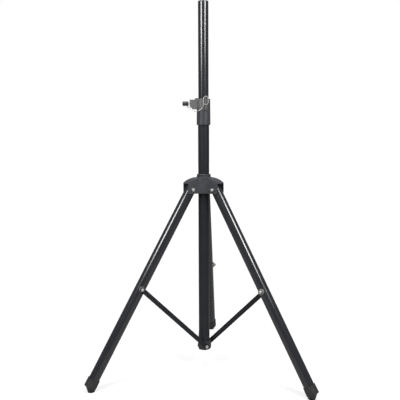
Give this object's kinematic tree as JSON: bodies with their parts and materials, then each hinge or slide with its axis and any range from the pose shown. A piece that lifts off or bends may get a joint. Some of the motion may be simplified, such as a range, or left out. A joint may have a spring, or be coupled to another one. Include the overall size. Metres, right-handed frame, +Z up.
{
  "type": "folding tripod speaker stand",
  "caption": "Folding tripod floor stand with a height-adjustable centre mast, sliding leg hub, brace bars, rubber feet and a chained locking pin.",
  "frame": {"origin": "on the floor, on the centre tube's axis", "axes": "+Z up along the centre tube; -Y is the open side between the two front legs, +Y towards the rear leg, +X towards the right front leg"},
  "size_m": [0.7554, 0.6599, 1.2738],
  "materials": {
    "tube_black": "black powder coat, satin",
    "bar_black": "black powder coat, satin",
    "moulding_black": "black glass-filled nylon, fine moulded texture",
    "liner_black": "black acetal",
    "cap_black": "black plastic",
    "boot_black": "black soft plastic, satin",
    "pad_rubber": "black rubber",
    "saddle_grey": "grey nylon",
    "steel_bright": "zinc-plated steel",
    "steel_dark": "blackened steel",
    "brass_insert": "brass"
  },
  "bodies": {
    "column": {"outer_tube": "tube_black", "base_plug": "moulding_black", "plug_rivet": "steel_dark", "brace_foot_screws": "steel_bright", "height_collar": "moulding_black", "collar_rivets": "steel_dark", "pin_bush": "steel_bright", "clamp_insert": "brass_insert", "tether_ring": "steel_bright", "safety_chain": "steel_bright"},
    "mast": {"inner_tube": "tube_black", "mast_end_cap": "moulding_black", "mast_guide_bush": "liner_black"},
    "lock_pin": {"lock_pin": "steel_bright", "pin_cap": "cap_black", "pin_eye": "steel_bright"},
    "clamp_shoe": {"clamp_shoe": "steel_dark"},
    "clamp_knob": {"clamp_screw": "steel_bright", "clamp_knob": "cap_black"},
    "hub": {"hub_body": "moulding_black", "hub_bush": "liner_black", "leg_pivot_bolts": "steel_bright", "leg_pivot_nuts": "steel_bright", "hub_lock_insert": "brass_insert"},
    "hub_lock_shoe": {"hub_lock_shoe": "steel_dark"},
    "hub_lock_knob": {"hub_lock_screw": "steel_bright", "hub_lock_knob": "cap_black"},
    "leg_rear": {"leg_tube_rear": "tube_black", "leg_head_plug_rear": "liner_black", "brace_bolt_rear": "steel_bright", "brace_nut_rear": "steel_bright", "brace_saddle_rear": "saddle_grey", "brace_spacer_rear": "saddle_grey", "foot_boot_rear": "boot_black", "foot_pad_rear": "pad_rubber"},
    "brace_rear": {"brace_bar_rear": "bar_black", "brace_screw_rear": "steel_bright"},
    "leg_left": {"leg_tube_left": "tube_black", "leg_head_plug_left": "liner_black", "brace_bolt_left": "steel_bright", "brace_nut_left": "steel_bright", "brace_saddle_left": "saddle_grey", "brace_spacer_left": "saddle_grey", "foot_boot_left": "boot_black", "foot_pad_left": "pad_rubber"},
    "brace_left": {"brace_bar_left": "bar_black", "brace_screw_left": "steel_bright"},
    "leg_right": {"leg_tube_right": "tube_black", "leg_head_plug_right": "liner_black", "brace_bolt_right": "steel_bright", "brace_nut_right": "steel_bright", "brace_saddle_right": "saddle_grey", "brace_spacer_right": "saddle_grey", "foot_boot_right": "boot_black", "foot_pad_right": "pad_rubber"},
    "brace_right": {"brace_bar_right": "bar_black", "brace_screw_right": "steel_bright"}
  },
  "joints": [
    {"name": "height_slide", "type": "slide", "parent": "column", "child": "mast", "axis": [0, 0, 1], "range_m": [-0.1, 0.4]},
    {"name": "pin_pull", "type": "slide", "parent": "column", "child": "lock_pin", "axis": [-1, 0, 0], "range_m": [-0.005, 0.03]},
    {"name": "clamp_feed", "type": "slide", "parent": "column", "child": "clamp_shoe", "axis": [0, 1, 0], "range_m": [0, 0.00125]},
    {"name": "clamp_turn", "type": "hinge", "parent": "clamp_shoe", "child": "clamp_knob", "pos_m": [0, 0, 0.93829], "axis": [0, 1, 0], "range_deg": [0, 360]},
    {"name": "hub_slide", "type": "slide", "parent": "column", "child": "hub", "axis": [0, 0, 1], "range_m": [0, 0.14324]},
    {"name": "hub_lock_feed", "type": "slide", "parent": "hub", "child": "hub_lock_shoe", "axis": [-0.866, 0.5, 0], "range_m": [0, 0.00125]},
    {"name": "hub_lock_turn", "type": "hinge", "parent": "hub_lock_shoe", "child": "hub_lock_knob", "pos_m": [0, 0, 0.651], "axis": [-0.866, 0.5, 0], "range_deg": [0, 360]},
    {"name": "leg_rear_fold", "type": "hinge", "parent": "hub", "child": "leg_rear", "pos_m": [0, 0.05, 0.648], "axis": [-1, 0, 0], "range_deg": [0, 29]},
    {"name": "brace_rear_fold", "type": "hinge", "parent": "column", "child": "brace_rear", "pos_m": [0, 0, 0.08779], "axis": [-1, 0, 0], "range_deg": [-35.28, 0]},
    {"name": "leg_left_fold", "type": "hinge", "parent": "hub", "child": "leg_left", "pos_m": [-0.0433, -0.025, 0.648], "axis": [0.5, -0.866, 0], "range_deg": [0, 29]},
    {"name": "brace_left_fold", "type": "hinge", "parent": "column", "child": "brace_left", "pos_m": [0, 0, 0.08779], "axis": [0.5, -0.866, 0], "range_deg": [-35.28, 0]},
    {"name": "leg_right_fold", "type": "hinge", "parent": "hub", "child": "leg_right", "pos_m": [0.0433, -0.025, 0.648], "axis": [0.5, 0.866, 0], "range_deg": [0, 29]},
    {"name": "brace_right_fold", "type": "hinge", "parent": "column", "child": "brace_right", "pos_m": [0, 0, 0.08779], "axis": [0.5, 0.866, 0], "range_deg": [-35.28, 0]}
  ],
  "couplings": [
    {"joint": "clamp_turn", "follows": "clamp_feed", "rad_per_m": 5026.5},
    {"joint": "hub_lock_turn", "follows": "hub_lock_feed", "rad_per_m": 5026.5},
    {"joint": "leg_rear_fold", "follows": "hub_slide", "rad_per_m": 3.5335},
    {"joint": "brace_rear_fold", "follows": "hub_slide", "rad_per_m": -4.2989},
    {"joint": "leg_left_fold", "follows": "hub_slide", "rad_per_m": 3.5335},
    {"joint": "brace_left_fold", "follows": "hub_slide", "rad_per_m": -4.2989},
    {"joint": "leg_right_fold", "follows": "hub_slide", "rad_per_m": 3.5335},
    {"joint": "brace_right_fold", "follows": "hub_slide", "rad_per_m": -4.2989}
  ]
}
